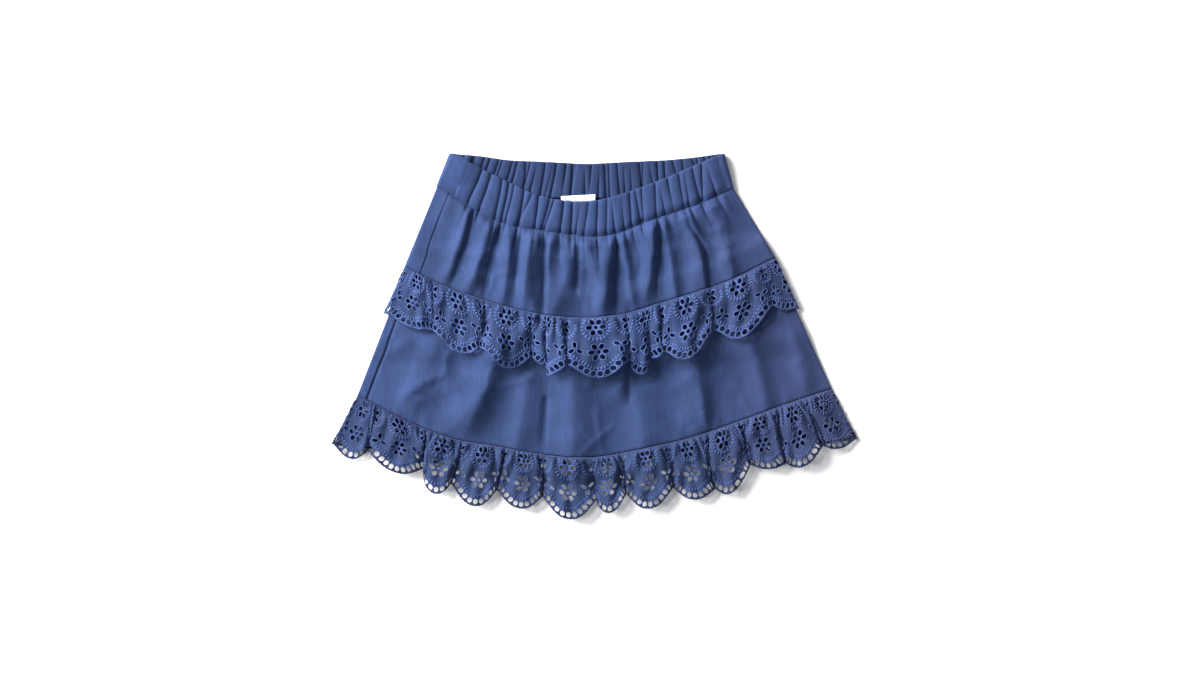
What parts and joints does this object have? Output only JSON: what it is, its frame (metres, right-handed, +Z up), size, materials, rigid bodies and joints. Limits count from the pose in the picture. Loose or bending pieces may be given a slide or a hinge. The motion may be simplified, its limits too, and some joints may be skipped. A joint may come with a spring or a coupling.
{
  "type": "ruffle skirt",
  "caption": "Girl's flared skirt laid flat: gathered elastic waist, plain cotton tiers and scalloped eyelet ruffles, with a blank label inside the back.",
  "frame": {"origin": "centre of the laid skirt's outline, on the surface under it", "axes": "+X across the skirt to the right, +Y from the hem to the waist, +Z up out of the surface"},
  "size_m": [0.4146, 0.2874, 0.0122],
  "materials": {
    "cotton_poplin": "matt cotton poplin with a faint sheen, garment dyed blue",
    "eyelet_lace": "cotton lawn embroidered with eyelets in matching thread",
    "label_tape": "white woven tape, blank"
  },
  "bodies": {
    "root": {"waistband_front": "cotton_poplin", "waistband_back": "cotton_poplin", "upper_panel_front": "cotton_poplin", "upper_panel_back": "cotton_poplin", "lower_panel_front": "cotton_poplin", "lower_panel_back": "cotton_poplin", "ruffle_mid_front": "eyelet_lace", "ruffle_mid_back": "eyelet_lace", "ruffle_hem_front": "eyelet_lace", "ruffle_hem_back": "eyelet_lace", "label": "label_tape"}
  },
  "joints": []
}
